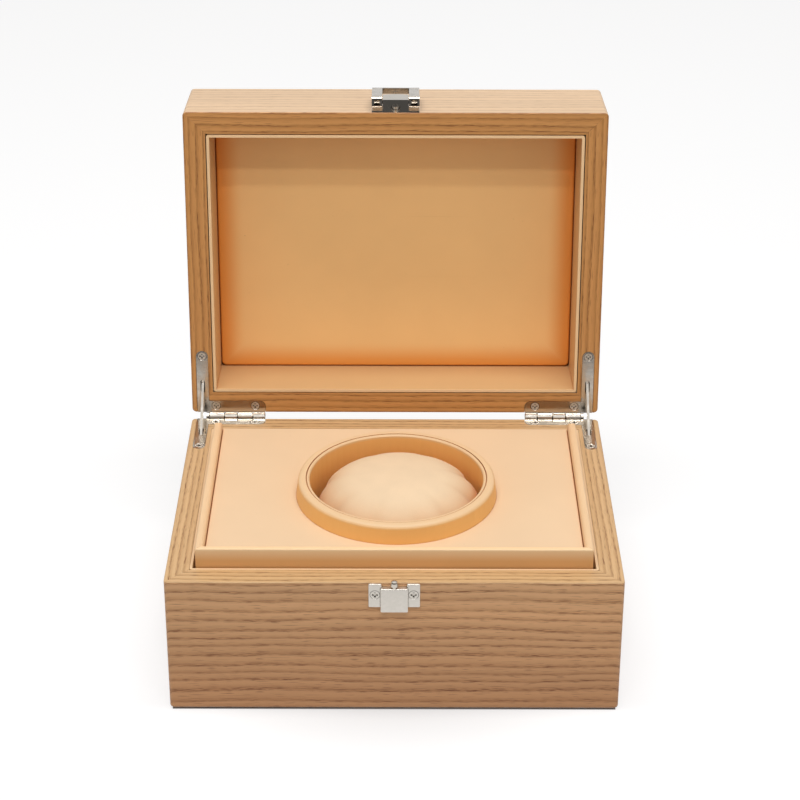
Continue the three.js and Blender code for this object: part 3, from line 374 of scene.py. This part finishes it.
def veneer(name, along, across, start, rim, painted_shading, in_lid=False, painted_sheen=0.0):
    """Straight-grained ash veneer under satin lacquer. Each year's ring starts in a ragged row
    of open pores, which shows as broken dark dashes, and pales away from it over the ring's
    width. The lines run along one axis, and their place across it is measured from the wall's
    outer face, so that they turn the mitred corners. Tints paint light and shade over the leaf:
    one goes from low on the wall to high, over the base's height, and paints the base's walls
    darker and deeper low down, where the floor shades them, and the lid's cooler and greyer;
    the rim takes its own painted tint at the rim's height, deeper on the lid's rim, which is in
    shade, and greyer on the base's lit rim. A leaf with painted sheen has paler, fainter lines
    off its rim, as strong light on its lacquer would give them. The real pores are 0.2 to 0.3 mm
    wide and are drawn at 0.4 mm so that they show."""
    rim_level, rim_end, pore_depth = 0.2, 0.5, 0.05
    faintest, boldest = 0.6, 1.15
    fibre_contrast, band_contrast = 0.22, 0.3
    lacquer_roughness, pore_roughness = 0.38, 0.15
    material, tree, shader = new_material(name, roughness=0.42)
    place = millimetres(tree, in_lid)
    down_grain = add(tree, "ShaderNodeVectorMath", {0: place, 1: along}, operation="DOT_PRODUCT")
    over_grain = add(tree, "ShaderNodeVectorMath", {0: place, 1: across}, operation="DOT_PRODUCT")
    from_face = add(tree, "ShaderNodeMath", {0: over_grain, 1: start})

    def mottle(length, width, detail, seed):
        stretched = add(tree, "ShaderNodeCombineXYZ", {
            0: add(tree, "ShaderNodeMath", {0: down_grain, 1: 1 / length}, operation="MULTIPLY"),
            1: add(tree, "ShaderNodeMath", {0: from_face, 1: 1 / width}, operation="MULTIPLY"),
            2: seed})
        return add(tree, "ShaderNodeTexNoise", {"Vector": stretched, "Scale": 1.0,
                   "Detail": detail})

    def shifted(value, unevenness, reach):
        centred = add(tree, "ShaderNodeMath", {0: unevenness, 1: 0.5}, operation="SUBTRACT")
        return add(tree, "ShaderNodeMath", {0: centred, 1: reach, 2: value},
                   operation="MULTIPLY_ADD")

    def marks(pattern, ramp):
        return add(tree, "ShaderNodeValToRGB", {0: mottle(*pattern)}, stops=ramp)

    line = from_face
    for pattern, reach in LINE_WANDER:
        line = shifted(line, mottle(*pattern), reach)
    rings = add(tree, "ShaderNodeMath", {0: line, 1: 1 / RING_WIDTH}, operation="MULTIPLY")
    within = add(tree, "ShaderNodeMath", {0: rings}, operation="FRACT")
    ring = add(tree, "ShaderNodeTexWhiteNoise", {"W": add(tree, "ShaderNodeMath", {0: rings},
               operation="FLOOR")}, noise_dimensions="1D")
    boldness = add(tree, "ShaderNodeMapRange", {0: ring.outputs["Value"], 3: faintest, 4: boldest})
    pore_row = add(tree, "ShaderNodeValToRGB", {0: within}, stops=PORE_ROW)
    haze = add(tree, "ShaderNodeValToRGB", {0: within}, stops=RING_HAZE)
    pores = marks(*PORE_DASHES)
    broken = add(tree, "ShaderNodeMath", {0: marks(*PORE_STRETCHES), 1: boldness},
                 operation="MULTIPLY")
    rows = add(tree, "ShaderNodeMath", {0: pore_row, 1: broken}, operation="MULTIPLY")
    dashes = add(tree, "ShaderNodeMath", {0: rows, 1: pores}, operation="MULTIPLY")
    dark = add(tree, "ShaderNodeMath", {0: dashes, 1: marks(*STRAY_PORES)}, operation="MAXIMUM")

    height = add(tree, "ShaderNodeSeparateXYZ", {0: place}).outputs["Z"]
    off_rim = add(tree, "ShaderNodeMath", {0: height, 1: rim}, operation="SUBTRACT")
    apart = add(tree, "ShaderNodeMath", {0: off_rim}, operation="ABSOLUTE")
    on_rim = add(tree, "ShaderNodeMapRange", {0: apart, 1: rim_level, 2: rim_end, 3: 1.0, 4: 0.0})
    # Painted sheen: off the rim, the lines pale and thin towards one pale colour.
    sheen_share = add(tree, "ShaderNodeMapRange", {0: on_rim, 3: painted_sheen, 4: 0.0})
    hazed = add(tree, "ShaderNodeMix", {0: haze, 6: linear(ASH_PALE), 7: linear(ASH_RING)},
                data_type="RGBA")
    pored = add(tree, "ShaderNodeMix", {0: dark, 6: hazed, 7: linear(ASH_PORE)}, data_type="RGBA")
    lined = add(tree, "ShaderNodeMix", {0: sheen_share, 6: pored, 7: linear(ASH_PAINTED_SHEEN)},
                data_type="RGBA")
    streaked = shifted(1.0, mottle(*FIBRES), fibre_contrast)
    cloudy = shifted(streaked, mottle(*TONE_BANDS), band_contrast)
    shaded = add(tree, "ShaderNodeMix", {0: 1.0, 6: lined, 7: cloudy}, data_type="RGBA",
                 blend_type="MULTIPLY")
    # Painted shade and light: the tint drifts from low on the wall to high, and the rim takes its
    # own painted tint.
    up = add(tree, "ShaderNodeMapRange", {0: height, 1: rim - BASE_HEIGHT, 2: rim})
    shade_drift = add(tree, "ShaderNodeMix", {0: up, 6: linear(painted_shading["low"]), 7: linear(painted_shading["high"])},
                data_type="RGBA")
    painted_tone_here = add(tree, "ShaderNodeMix", {0: on_rim, 6: shade_drift, 7: linear(painted_shading["rim"])},
                    data_type="RGBA")
    tinted = add(tree, "ShaderNodeMix", {0: 1.0, 6: shaded, 7: painted_tone_here}, data_type="RGBA",
                 blend_type="MULTIPLY")
    tree.links.new(tinted.outputs[2], shader.inputs["Base Color"])
    rough = add(tree, "ShaderNodeMath", {0: dark, 1: pore_roughness, 2: lacquer_roughness},
                operation="MULTIPLY_ADD")
    tree.links.new(rough.outputs[0], shader.inputs["Roughness"])
    bump = add(tree, "ShaderNodeBump", {"Height": dark, "Strength": 0.5,
               "Distance": pore_depth * MM}, invert=True)
    tree.links.new(bump.outputs[0], shader.inputs["Normal"])
    return material


def plain_board(name, wood, fleck_colour):
    """Sanded beech board with a faint straight grain and a dull surface."""
    flecks_per_mm = (0.03, 0.8, 0.8)
    material, tree, shader = new_material(name, roughness=0.7)
    grain = add(tree, "ShaderNodeMapping", {"Vector": millimetres(tree), "Scale": flecks_per_mm})
    fleck = add(tree, "ShaderNodeTexNoise", {"Vector": grain, "Scale": 1.0, "Detail": 4.0})
    tone = add(tree, "ShaderNodeValToRGB", {0: fleck},
               stops=((0.3, linear(wood)), (0.7, linear(fleck_colour))))
    tree.links.new(tone.outputs[0], shader.inputs["Base Color"])
    return material


# Linings.

def leatherette(name, colour, in_lid=False, sides=None, edge=None):
    """Smooth polyurethane leatherette glued over board: a close, shallow pebble, a soft sheen,
    slow unevenness of tone and a rare dark fleck. The real pebble is about 0.3 mm; it is drawn
    at 0.6 mm so that it shows. Its creases against other pieces are darkened with painted
    shade. The sides are a half width, a rear edge and the deeper colour of painted shade near
    them; the edge is a height, the paler colour of painted light on the wrap there and how far
    that reaches."""
    pebble, fleck_size, cloud_size, side_shade_reach, crease, edge_line = 0.6, 1.5, 40.0, 13.0, 1.0, 0.25
    material, tree, shader = new_material(name, roughness=0.5)
    place = millimetres(tree, in_lid)
    pebbles = add(tree, "ShaderNodeTexVoronoi", {"Vector": place, "Scale": 1 / pebble},
                  feature="SMOOTH_F1")
    clouds = add(tree, "ShaderNodeTexNoise", {"Vector": place, "Scale": 1 / cloud_size,
                 "Detail": 3.0})
    flecks = add(tree, "ShaderNodeTexNoise", {"Vector": place, "Scale": 1 / fleck_size,
                 "Detail": 2.0})
    specks = add(tree, "ShaderNodeValToRGB", {0: flecks},
                 stops=((0.0, 1.0), (0.76, 1.0), (0.8, 0.82)))
    tone = add(tree, "ShaderNodeValToRGB", {0: clouds}, stops=((0.3, 0.955), (0.7, 1.0)))
    both = add(tree, "ShaderNodeMath", {0: specks, 1: tone}, operation="MULTIPLY")
    coloured_surface = add(tree, "ShaderNodeMix", {0: 1.0, 6: linear(colour), 7: both}, data_type="RGBA",
               blend_type="MULTIPLY").outputs[2]
    # Painted shade: a deeper colour towards the sides and the rear edge.
    if sides:
        half_across, rear_edge, shade_colour = sides
        spot = add(tree, "ShaderNodeSeparateXYZ", {0: place})
        out = add(tree, "ShaderNodeMath", {0: spot.outputs["X"]}, operation="ABSOLUTE")
        from_side = add(tree, "ShaderNodeMath", {0: out, 1: half_across}, operation="SUBTRACT")
        from_rear = add(tree, "ShaderNodeMath", {0: spot.outputs["Y"], 1: rear_edge},
                        operation="SUBTRACT")
        nearest = add(tree, "ShaderNodeMath", {0: from_side, 1: from_rear}, operation="MAXIMUM")
        side_shade_share = add(tree, "ShaderNodeMapRange", {0: nearest, 1: -side_shade_reach, 2: 0.0},
                    interpolation_type="SMOOTHSTEP")
        coloured_surface = add(tree, "ShaderNodeMix", {0: side_shade_share, 6: coloured_surface, 7: linear(shade_colour)},
                   data_type="RGBA").outputs[2]
    # Painted light: a paler colour along the edge's height.
    if edge:
        edge_height, lit_colour, reach = edge
        height = add(tree, "ShaderNodeSeparateXYZ", {0: place}).outputs["Z"]
        off = add(tree, "ShaderNodeMath", {0: height, 1: edge_height}, operation="SUBTRACT")
        apart = add(tree, "ShaderNodeMath", {0: off}, operation="ABSOLUTE")
        lit_share = add(tree, "ShaderNodeMapRange", {0: apart, 1: edge_line, 2: reach, 3: 1.0,
                     4: 0.0})
        coloured_surface = add(tree, "ShaderNodeMix", {0: lit_share, 6: coloured_surface, 7: linear(lit_colour)},
                   data_type="RGBA").outputs[2]
    # Painted shade in the creases against other pieces.
    crease_shaded = crevices(tree, coloured_surface, CREASE_SHADE, crease)
    tree.links.new(crease_shaded, shader.inputs["Base Color"])
    bump = add(tree, "ShaderNodeBump", {"Height": pebbles, "Strength": 0.3, "Distance": 0.03 * MM})
    tree.links.new(bump.outputs[0], shader.inputs["Normal"])
    return material


def microsuede(name, colour, crown, shade_colour):
    """Brushed microfibre suede: a very fine nap that pales at a glancing angle, stroked in
    patches, and of a deeper colour of painted shade below the cushion's crown and near the
    well's wall. The crown is its height.
    drawn at 0.35 mm so that it shows."""
    nap, patch, crown_depth, low_depth, wall_shade_reach = 0.35, 12.0, 2.5, 11.0, 6.0
    material, tree, shader = new_material(name, roughness=0.8, sheen_weight=0.12,
                                          sheen_roughness=0.5)
    place = millimetres(tree)
    hairs = add(tree, "ShaderNodeTexNoise", {"Vector": place, "Scale": 1 / nap, "Detail": 3.0})
    stroked = add(tree, "ShaderNodeTexNoise", {"Vector": place, "Scale": 1 / patch, "Detail": 2.0})
    tone = add(tree, "ShaderNodeValToRGB", {0: stroked}, stops=((0.3, 0.95), (0.7, 1.0)))
    fine = add(tree, "ShaderNodeValToRGB", {0: hairs}, stops=((0.3, 0.96), (0.7, 1.0)))
    both = add(tree, "ShaderNodeMath", {0: tone, 1: fine}, operation="MULTIPLY")
    # Painted shade: a deeper colour below the crown.
    height = add(tree, "ShaderNodeSeparateXYZ", {0: place}).outputs["Z"]
    on_crown = add(tree, "ShaderNodeMapRange", {0: height, 1: crown - low_depth,
                   2: crown - crown_depth})
    shaded_below_crown = add(tree, "ShaderNodeMix", {0: on_crown, 6: linear(shade_colour), 7: linear(colour)},
               data_type="RGBA")
    coloured_surface = add(tree, "ShaderNodeMix", {0: 1.0, 6: shaded_below_crown, 7: both}, data_type="RGBA",
               blend_type="MULTIPLY")
    # Painted shade by the well's wall.
    wall_shaded = crevices(tree, coloured_surface.outputs[2], SUEDE_WALL_SHADE, wall_shade_reach)
    tree.links.new(wall_shaded, shader.inputs["Base Color"])
    bump = add(tree, "ShaderNodeBump", {"Height": hairs, "Strength": 0.3, "Distance": 0.04 * MM})
    tree.links.new(bump.outputs[0], shader.inputs["Normal"])
    return material


def wool_felt(name, dark, light):
    """Pressed wool felt: matt, with a fine tangle of darker and lighter fibres, drawn at 0.5 mm
    so that they show."""
    tangle = 0.5
    material, tree, shader = new_material(name, roughness=0.95)
    fibre = add(tree, "ShaderNodeTexNoise", {"Vector": millimetres(tree), "Scale": 1 / tangle,
                "Detail": 5.0})
    tone = add(tree, "ShaderNodeValToRGB", {0: fibre},
               stops=((0.3, linear(dark)), (0.75, linear(light))))
    tree.links.new(tone.outputs[0], shader.inputs["Base Color"])
    bump = add(tree, "ShaderNodeBump", {"Height": fibre, "Distance": 0.2 * MM})
    tree.links.new(bump.outputs[0], shader.inputs["Normal"])
    return material


# Metal.

def polished_nickel(name, colour):
    """Bright nickel plate on steel: close to a mirror, with a slight warm cast, patches of
    finer and duller polish, the faint waviness that stamping leaves, and painted shade in its
    seams, slots and screw recesses."""
    wave, haze = 1.6, 4.0
    material, tree, shader = new_material(name, roughness=0.16, metallic=1.0)
    place = millimetres(tree)
    # Painted shade in seams, slots and screw recesses.
    tree.links.new(crevices(tree, linear(colour), METAL_RECESS_SHADE, METAL_SHADE_REACH),
                   shader.inputs["Base Color"])
    waves = add(tree, "ShaderNodeTexNoise", {"Vector": place, "Scale": 1 / wave, "Detail": 2.0})
    wear = add(tree, "ShaderNodeTexNoise", {"Vector": place, "Scale": 1 / haze})
    rough = add(tree, "ShaderNodeValToRGB", {0: wear}, stops=((0.3, 0.08), (0.7, 0.2)))
    tree.links.new(rough.outputs[0], shader.inputs["Roughness"])
    bump = add(tree, "ShaderNodeBump", {"Height": waves, "Strength": 0.5, "Distance": 0.02 * MM})
    tree.links.new(bump.outputs[0], shader.inputs["Normal"])
    return material


def satin_nickel(name, dull, light):
    """Vibratory-finished nickel: pale and even, with a soft, slightly mottled reflection."""
    mottling = 2.5
    material, tree, shader = new_material(name, roughness=0.34, metallic=1.0)
    mottle = add(tree, "ShaderNodeTexNoise", {"Vector": millimetres(tree), "Scale": 1 / mottling,
                 "Detail": 4.0})
    tone = add(tree, "ShaderNodeValToRGB", {0: mottle},
               stops=((0.3, linear(dull)), (0.7, linear(light))))
    # Painted shade in seams and screw recesses.
    tree.links.new(crevices(tree, tone, METAL_RECESS_SHADE, METAL_SHADE_REACH),
                   shader.inputs["Base Color"])
    rough = add(tree, "ShaderNodeValToRGB", {0: mottle}, stops=((0.3, 0.3), (0.7, 0.42)))
    tree.links.new(rough.outputs[0], shader.inputs["Roughness"])
    return material


# Meshes.

def object_from(bm, name, smooth=False):
    """A linked object made of a finished bmesh."""
    mesh = bpy.data.meshes.new(name)
    bm.normal_update()
    bm.to_mesh(mesh)
    bm.free()
    for polygon in mesh.polygons:
        polygon.use_smooth = smooth
    made = bpy.data.objects.new(name, mesh)
    bpy.context.scene.collection.objects.link(made)
    return made


def paint(names, material):
    """Gives CAD nodes a material."""
    for name in names:
        for slot in frame["nodes"][name].material_slots:
            slot.material = material


def apply_modifiers(piece):
    """Turns the piece's modifiers into its mesh."""
    evaluated = piece.evaluated_get(bpy.context.evaluated_depsgraph_get())
    flat = bpy.data.meshes.new_from_object(evaluated)
    piece.modifiers.clear()
    piece.data = flat
    for polygon in flat.polygons:
        polygon.use_smooth = True


def smooth_finely(piece):
    """Divides the piece's faces once, smoothly."""
    finer = piece.modifiers.new("finer", "SUBSURF")
    finer.levels = 1
    finer.render_levels = 1
    apply_modifiers(piece)


def stuff(piece, pressure, cap, keep):
    """Fills a closed cover by cloth simulation. Points in the vertex group keep their place, and
    no point moves further than the cap."""
    tiny = 1e-9
    modifier = piece.modifiers.new("stuffing", "CLOTH")
    cloth = modifier.settings
    cloth.quality = 6
    cloth.mass = 0.2
    cloth.tension_stiffness = 12.0
    cloth.compression_stiffness = 12.0
    cloth.bending_stiffness = 0.3
    cloth.use_pressure = True
    cloth.uniform_pressure_force = pressure
    cloth.effector_weights.gravity = 0.0
    cloth.vertex_group_mass = keep.name
    scene = bpy.context.scene
    for moment in range(1, FILLING_FRAMES + 1):
        scene.frame_set(moment)
    evaluated = piece.evaluated_get(bpy.context.evaluated_depsgraph_get())
    filled = [vertex.co.copy() for vertex in evaluated.data.vertices]
    piece.modifiers.remove(modifier)
    for vertex, new in zip(piece.data.vertices, filled):
        move = new - vertex.co
        vertex.co += move * min(1.0, cap / max(move.length, tiny))
    scene.frame_set(1)


# Cushion and lid pad.

# Where the cushion's cover is gathered, as shares of a turn from +X towards +Y, as in the CAD,
# with how strongly: the front ones are drawn in more.
GATHERS = {-0.03: 1.3, -0.13: 1.33, -0.2: 1.2, -0.31: 1.33, -0.42: 1.2, 0.06: 1.3, 0.186: 0.4,
           0.314: 0.4, 0.46: 0.9}
GATHER_WIDTH = 0.017
GATHER_DEPTH = 1.5 * MM
GATHER_DIP = 1.1 * MM

# How square the cushion's side view is: 2 is an ellipse.
SQUARENESS = 2.4

# The filling: its pressure, the cover's mesh, how far it may swell, and for how many frames.
FILLING_PRESSURE = 4.0
COVER_MESH = 1.5 * MM
MOST_SWELLING = 1.2 * MM
FILLING_FRAMES = 20


def gather_at(turn):
    """How strongly the cover is drawn in at an angle in plan: about 1 in a gather's middle."""
    most = 0.0
    for place, strength in GATHERS.items():
        apart = abs(turn - place)
        share = min(apart, 1.0 - apart) / GATHER_WIDTH
        most = max(most, strength * math.exp(-share * share))
    return most


def make_cushion(material):
    """The stuffed cushion in the well, with its cover gathered round the rim."""
    low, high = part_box("cushion")
    middle = (low + high) / 2
    half = (high - low) / 2
    rows, columns = 72, 240
    crest, weld = 0.3, 0.01 * MM
    power = 2 / SQUARENESS
    bm = bmesh.new()
    rings = []
    for i in range(rows + 1):
        lift = math.pi * (i / rows - 0.5)
        ring_size = abs(math.cos(lift))
        height = math.copysign(abs(math.sin(lift)) ** power, math.sin(lift))
        ring = []
        for k in range(columns):
            turn = k / columns
            if turn > 0.5:
                turn -= 1.0
            gather = gather_at(turn)
            pulled = GATHER_DEPTH * gather * ring_size ** 2
            sunk = GATHER_DIP * gather * ring_size ** 3 * max(0.0, math.sin(lift)) ** crest
            spread = ring_size ** power
            angle = 2 * math.pi * turn
            ring.append(bm.verts.new((
                middle.x + math.cos(angle) * (spread * half.x - pulled),
                middle.y + math.sin(angle) * (spread * half.y - pulled),
                middle.z + half.z * height - sunk,
            )))
        rings.append(ring)
    for below, above in zip(rings, rings[1:]):
        for k in range(columns):
            following = (k + 1) % columns
            bm.faces.new((below[k], below[following], above[following], above[k]))
    bmesh.ops.remove_doubles(bm, verts=bm.verts, dist=weld)
    bmesh.ops.recalc_face_normals(bm, faces=bm.faces)
    cushion = object_from(bm, "stuffed_cushion", smooth=True)
    cushion.data.materials.append(material)
    fill_cushion(cushion, middle, half)
    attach(cushion, "cushion")
    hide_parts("cushion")


def fill_cushion(cushion, middle, half):
    """Stuffs the cushion's cover, which the gathers' stitches hold near its rim."""
    held_from = 0.3
    remesh = cushion.modifiers.new("even_mesh", "REMESH")
    remesh.mode = "VOXEL"
    remesh.voxel_size = COVER_MESH
    apply_modifiers(cushion)
    gathered = cushion.vertex_groups.new(name="gathered")
    for vertex in cushion.data.vertices:
        out = vertex.co - middle
        turn = math.atan2(out.y, out.x) / (2 * math.pi)
        reach = min(1.0, math.hypot(out.x / half.x, out.y / half.y))
        hold = gather_at(turn) * reach ** 3
        if hold > held_from:
            gathered.add([vertex.index], min(1.0, hold), "REPLACE")
    stuff(cushion, pressure=FILLING_PRESSURE, cap=MOST_SWELLING, keep=gathered)
    smooth_finely(cushion)


def shut_pad_box():
    """The CAD pad's lowest and highest corners in the shut lid's frame, from the hinge."""
    shut = OPENING.inverted()
    corners = [shut @ vertex.co for vertex in frame["nodes"]["lid_pad"].data.vertices]
    return (Vector(min(c[i] for c in corners) for i in range(3)),
            Vector(max(c[i] for c in corners) for i in range(3)))


def make_lid_pad(material):
    """The padded panel in the lid: card wrapped over thin foam. Its edges roll over tightly,
    its face falls away softly towards them, and it is slightly uneven."""
    low, high = shut_pad_box()
    middle = (low + high) / 2
    spread, weld = 0.3 * MM, 0.005 * MM
    half = Vector(((high.x - low.x) / 2 + spread, (high.y - low.y) / 2 + spread))
    thickness = high.z - low.z
    roll, corner, least, roll_steps = 1.2 * MM, 2.6 * MM, 0.4 * MM, 6
    bm = bmesh.new()
    rings = [pad_ring(half, 0.0, corner, thickness)]
    for i in range(roll_steps + 1):
        turn = math.pi / 2 * i / roll_steps
        inset = roll * (1 - math.cos(turn))
        rings.append(pad_ring(half, inset, max(least, corner - inset),
                              roll * (1 - math.sin(turn)) + pad_fall(inset)))
    insets = [2.0, 3.2, 4.8, 6.6, 8.6, 10.8, 13.0, 15.5, 20.0, 25.0, 30.0, 36.0, 42.0, 48.0]
    for inset in (value * MM for value in insets):
        if inset < half.y - corner:
            ring = pad_ring(half, inset, max(least, corner - inset), pad_fall(inset))
            rings.append([(x, y, depth + unevenness(x, y)) for x, y, depth in ring])
    made = [[bm.verts.new((middle.x + x, middle.y + y, low.z + depth)) for x, y, depth in ring]
            for ring in rings]
    for outer, inner in zip(made, made[1:]):
        for k in range(len(outer)):
            following = (k + 1) % len(outer)
            bm.faces.new((outer[following], outer[k], inner[k], inner[following]))
    bm.faces.new(made[0])
    bm.faces.new(made[-1])
    bmesh.ops.remove_doubles(bm, verts=bm.verts, dist=weld)
    bmesh.ops.recalc_face_normals(bm, faces=bm.faces)
    bm.transform(OPENING)
    pad = object_from(bm, "padded_lid_panel", smooth=True)
    pad.data.materials.append(material)
    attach(pad, "lid")
    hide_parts("lid_pad")


def pad_ring(half, inset, radius, depth):
    """One ring of the pad's face: a rounded rectangle at an inset from its edge."""
    corner_steps, side_steps = 8, 16
    x, y = half.x - inset - radius, half.y - inset - radius
    arcs = []
    for quarter, (side_x, side_y) in enumerate(((1, 1), (-1, 1), (-1, -1), (1, -1))):
        turns = [math.pi / 2 * (quarter + k / corner_steps) for k in range(corner_steps + 1)]
        arcs.append([(side_x * x + radius * math.cos(turn), side_y * y + radius * math.sin(turn))
                     for turn in turns])
    ring = []
    for arc, following in zip(arcs, arcs[1:] + arcs[:1]):
        (x0, y0), (x1, y1) = arc[-1], following[0]
        side = [(x0 + (x1 - x0) * k / side_steps, y0 + (y1 - y0) * k / side_steps)
                for k in range(1, side_steps)]
        ring += [(px, py, depth) for px, py in arc + side]
    return ring


def pad_fall(inset):
    """How far the foam falls away at an inset from the pad's edge."""
    shoulder, reach = 1.1 * MM, 15.0 * MM
    return shoulder * max(0.0, 1 - inset / reach) ** 2


def unevenness(x, y):
    """The slow hills and hollows of hand-glued foam."""
    most, hill = 0.3 * MM, 32 * MM
    return most * (0.5 + 0.5 * noise.noise(Vector((x, y, 0.0)) / hill))


make_camera()
make_world()
make_lamps()
make_table()

# Each wall's grain runs along it, and its lines are measured from its outer face.
for prefix, in_lid, rim, painted_shading, front, rear in (
        ("base", False, BASE_HEIGHT, BASE_PAINTED_SHADING, -HALF_DEPTH, HALF_DEPTH),
        ("lid", True, LID_RIM, LID_PAINTED_SHADING, -HALF_DEPTH - HINGE_LINE, HALF_DEPTH - HINGE_LINE)):
    walls = {
        "front": ((1, 0, 0), (0, RIM_CLOSENESS, 1), -RIM_CLOSENESS * front),
        "rear": ((1, 0, 0), (0, -RIM_CLOSENESS, 1), RIM_CLOSENESS * rear),
        "left": ((0, 1, 0), (RIM_CLOSENESS, 0, 1), RIM_CLOSENESS * HALF_WIDTH),
        "right": ((0, 1, 0), (-RIM_CLOSENESS, 0, 1), RIM_CLOSENESS * HALF_WIDTH),
    }
    for side, (along, across, start) in walls.items():
        # The lid's front wall gets painted sheen.
        painted_sheen = LID_FRONT_PAINTED_SHEEN if in_lid and side == "front" else 0.0
        wood = veneer(f"ash_veneer_{prefix}_{side}", along, across, start, rim, painted_shading, in_lid,
                      painted_sheen)
        paint([f"{prefix}_{side}_wall"], wood)
paint(["lid_roof_panel"],
      veneer("ash_veneer_roof", (1, 0, 0), (0, 1, ROOF_SLOPE), 0.0, LID_RIM, LID_PAINTED_SHADING,
             in_lid=True))
paint(["base_bottom_panel", "well_floor"], plain_board("beech_board", *BEECH))
paint(["base_felt"], wool_felt("wool_felt", *FELT))

paint(["tray_platform"], leatherette("peach_leatherette", PLATFORM_TONE))
paint(["base_liner", "tray_left_board", "tray_right_board", "tray_rear_board"],
      leatherette("peach_leatherette_boards", BOARD_TONE))
board_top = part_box("tray_front_board")[1].z * PER_METRE
# Painted light on the front board's top edge, over its shaded face.
paint(["tray_front_board"],
      leatherette("peach_leatherette_front_board", FRONT_BOARD_SHADED,
                  edge=(board_top, FRONT_BOARD_LIT_TOP, BOARD_LIT_EDGE)))
collar_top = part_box("well_collar")[1].z * PER_METRE
# Painted light on the collar's top edge, over its shaded side.
paint(["well_collar", "well_band"],
      leatherette("peach_leatherette_lit_and_shaded", COLLAR_SHADED_SIDE,
                  edge=(collar_top, COLLAR_LIT_TOP, COLLAR_LIT_EDGE)))
# A painted highlight along the lining's front edge.
paint(["lid_liner"],
      leatherette("apricot_leatherette_liner", LINER_SHADED, in_lid=True,
                  edge=(LID_RIM, LINER_HIGHLIGHT, LINER_HIGHLIGHT_EDGE)))

metal = ("hinge", "stay", "latch", "screw")
bright = polished_nickel("polished_nickel", BRIGHT_NICKEL)
dull = satin_nickel("satin_nickel", *SATIN_NICKEL)
for name in frame["nodes"]:
    if name.startswith(metal) or any(f"_{word}" in name for word in metal):
        paint([name], dull if "screw" in name or name == "base_latch_plate" else bright)

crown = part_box("cushion")[1].z * PER_METRE
make_cushion(microsuede("microfibre_suede", SUEDE_CROWN, crown, SUEDE_SHADED_LOW))
pad_corner = shut_pad_box()[1] * PER_METRE
# Painted shade near the pad's sides and rear edge, over its shaded tone.
make_lid_pad(leatherette("apricot_leatherette_pad", PAD_SHADED_TONE, in_lid=True,
                         sides=(pad_corner.x, pad_corner.y, PAD_PAINTED_SHADE)))

view = bpy.context.scene.view_settings
view.view_transform = "Standard"
